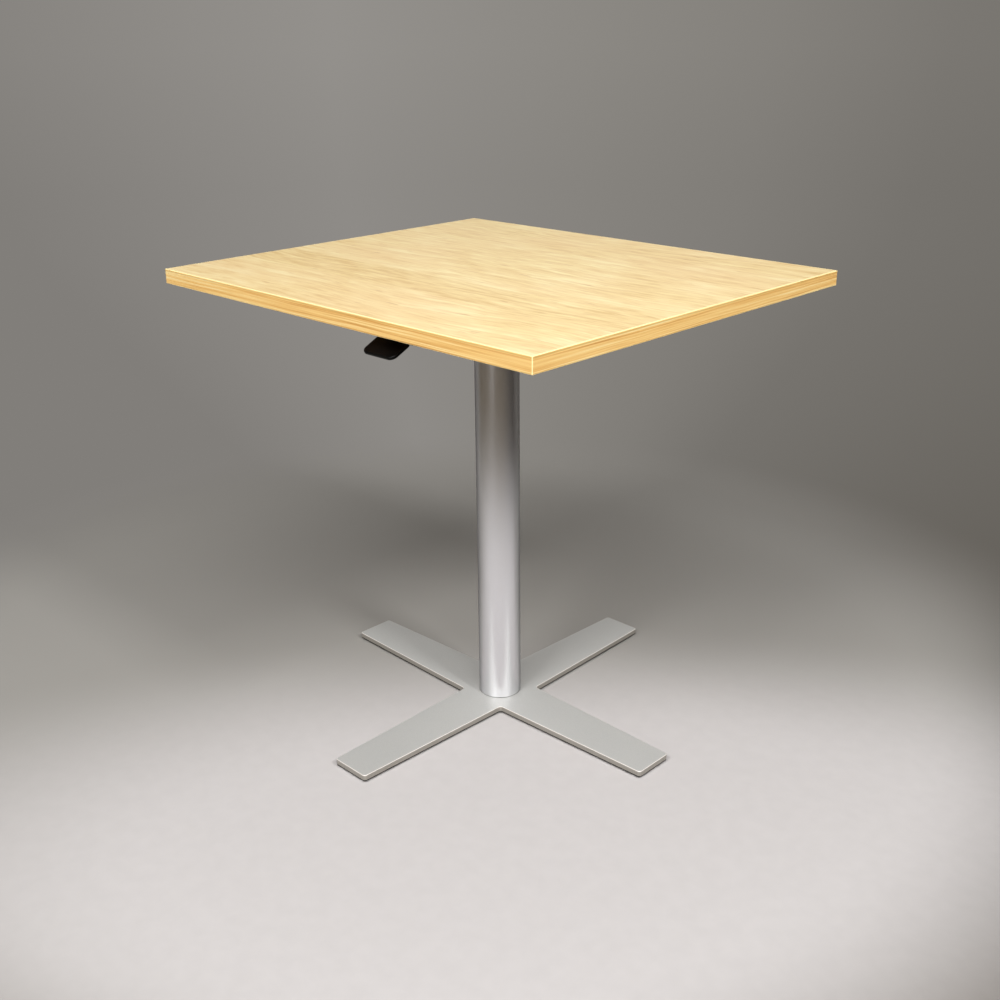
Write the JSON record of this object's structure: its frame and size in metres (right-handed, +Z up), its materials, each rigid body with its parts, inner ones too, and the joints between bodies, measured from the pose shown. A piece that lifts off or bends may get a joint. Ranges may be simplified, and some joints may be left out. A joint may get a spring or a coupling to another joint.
{
  "type": "telescoping pedestal table",
  "caption": "Height-adjustable pedestal table: rectangular maple-look top on a round gas-lift column with a release paddle, standing on a flat X-shaped base plate.",
  "frame": {"origin": "on the floor, on the column's axis", "axes": "+Z up; X along the top's long edges; the release paddle is on the -Y side, towards +X, where the user stands"},
  "size_m": [0.762, 0.6604, 0.729],
  "materials": {
    "laminate_maple": "satin maple-look laminate",
    "edge_band_maple": "satin maple edge band, streaked along its length",
    "core_board": "raw particle board",
    "backing_sheet": "matte kraft backing sheet",
    "base_silver": "satin silver powder coat",
    "column_silver": "satin silver metallic coat",
    "inner_aluminium": "satin anodised",
    "hub_steel": "silver powder coat over a weldment",
    "black_steel": "black powder coat",
    "plain_steel": "machined",
    "polished_rod": "hard chromed and ground",
    "zinc_screws": "bright zinc plated",
    "zinc_rocker": "zinc die casting",
    "paddle_black": "fine moulded texture",
    "glide_nylon": "moulded nylon",
    "guide_plastic": "acetal, machined",
    "rubber_black": "moulded",
    "cable_black": "extruded, slightly glossy",
    "ferrule_metal": "nickel plated",
    "wire_steel": "stranded, galvanised"
  },
  "bodies": {
    "base": {"base_plate": "base_silver", "tube_foot_plug": "plain_steel", "column_screws": "zinc_screws", "outer_tube": "column_silver", "upper_guide_bushing": "guide_plastic", "anti_rotation_key": "plain_steel", "stop_ring": "rubber_black", "gas_cylinder": "black_steel", "gas_cylinder_base": "plain_steel", "gas_rod_guide": "plain_steel", "gas_rod_seal": "rubber_black"},
    "moving_top": {"inner_tube": "inner_aluminium", "lower_slide_ring": "guide_plastic", "gas_rod": "polished_rod", "gas_piston": "plain_steel", "gas_piston_seal": "rubber_black", "rod_lock_nut": "plain_steel", "head_hub": "hub_steel", "hub_flange": "hub_steel", "hub_set_screws": "zinc_screws", "hub_screws": "zinc_screws", "mount_plate": "black_steel", "mount_plate_screws": "zinc_screws", "tabletop_core": "core_board", "tabletop_laminate": "laminate_maple", "tabletop_backer": "backing_sheet", "edge_band_front": "edge_band_maple", "edge_band_rear": "edge_band_maple", "edge_band_left": "edge_band_maple", "edge_band_right": "edge_band_maple", "rocker_pin": "polished_rod", "lever_pin": "polished_rod", "lever_pin_clips": "zinc_screws", "lever_bracket": "black_steel", "lever_bracket_screws": "zinc_screws", "cable_sheath": "cable_black", "cable_ferrules": "ferrule_metal", "cable_clip": "cable_black", "cable_clip_screw": "zinc_screws"},
    "paddle": {"release_paddle": "paddle_black"},
    "rocker": {"release_rocker": "zinc_rocker"},
    "wire_rear_end": {"cable_wire_rear": "wire_steel", "cable_nipple_rear": "ferrule_metal"},
    "wire_front_end": {"cable_wire_front": "wire_steel", "cable_nipple_front": "ferrule_metal"},
    "valve_pin": {"release_pin": "polished_rod"},
    "glide_front": {"glide_pad_front": "glide_nylon", "glide_stem_front": "zinc_screws"},
    "glide_rear": {"glide_pad_rear": "glide_nylon", "glide_stem_rear": "zinc_screws"},
    "glide_left": {"glide_pad_left": "glide_nylon", "glide_stem_left": "zinc_screws"},
    "glide_right": {"glide_pad_right": "glide_nylon", "glide_stem_right": "zinc_screws"}
  },
  "joints": [
    {"name": "lift", "type": "slide", "parent": "base", "child": "moving_top", "axis": [0, 0, 1], "range_m": [0, 0.4]},
    {"name": "paddle_squeeze", "type": "hinge", "parent": "moving_top", "child": "paddle", "pos_m": [0.102, -0.2802, 0.698], "axis": [-1, 0, 0], "range_deg": [0, 20], "stiffness_Nm_per_rad": 1.2, "springref_deg": -20.05},
    {"name": "rocker_turn", "type": "hinge", "parent": "moving_top", "child": "rocker", "pos_m": [0, 0.008, 0.68185], "axis": [1, 0, 0], "range_deg": [0, 22.7]},
    {"name": "wire_rear_pull", "type": "slide", "parent": "moving_top", "child": "wire_rear_end", "axis": [0, -1, 0], "range_m": [0, 0.00505]},
    {"name": "wire_front_pull", "type": "slide", "parent": "moving_top", "child": "wire_front_end", "axis": [0, -1, 0], "range_m": [0, 0.00505]},
    {"name": "valve_pin_push", "type": "slide", "parent": "moving_top", "child": "valve_pin", "axis": [0, 0, -1], "range_m": [0, 0.0032]},
    {"name": "glide_screw_front", "type": "slide", "parent": "base", "child": "glide_front", "axis": [0, 0, -1], "range_m": [0, 0.004]},
    {"name": "glide_screw_rear", "type": "slide", "parent": "base", "child": "glide_rear", "axis": [0, 0, -1], "range_m": [0, 0.004]},
    {"name": "glide_screw_left", "type": "slide", "parent": "base", "child": "glide_left", "axis": [0, 0, -1], "range_m": [0, 0.004]},
    {"name": "glide_screw_right", "type": "slide", "parent": "base", "child": "glide_right", "axis": [0, 0, -1], "range_m": [0, 0.004]}
  ],
  "couplings": [
    {"joint": "rocker_turn", "follows": "paddle_squeeze", "ratio": 1.131},
    {"joint": "wire_rear_pull", "follows": "paddle_squeeze", "m_per_rad": 0.01433},
    {"joint": "wire_front_pull", "follows": "paddle_squeeze", "m_per_rad": 0.01433},
    {"joint": "valve_pin_push", "follows": "paddle_squeeze", "m_per_rad": 0.00905}
  ]
}
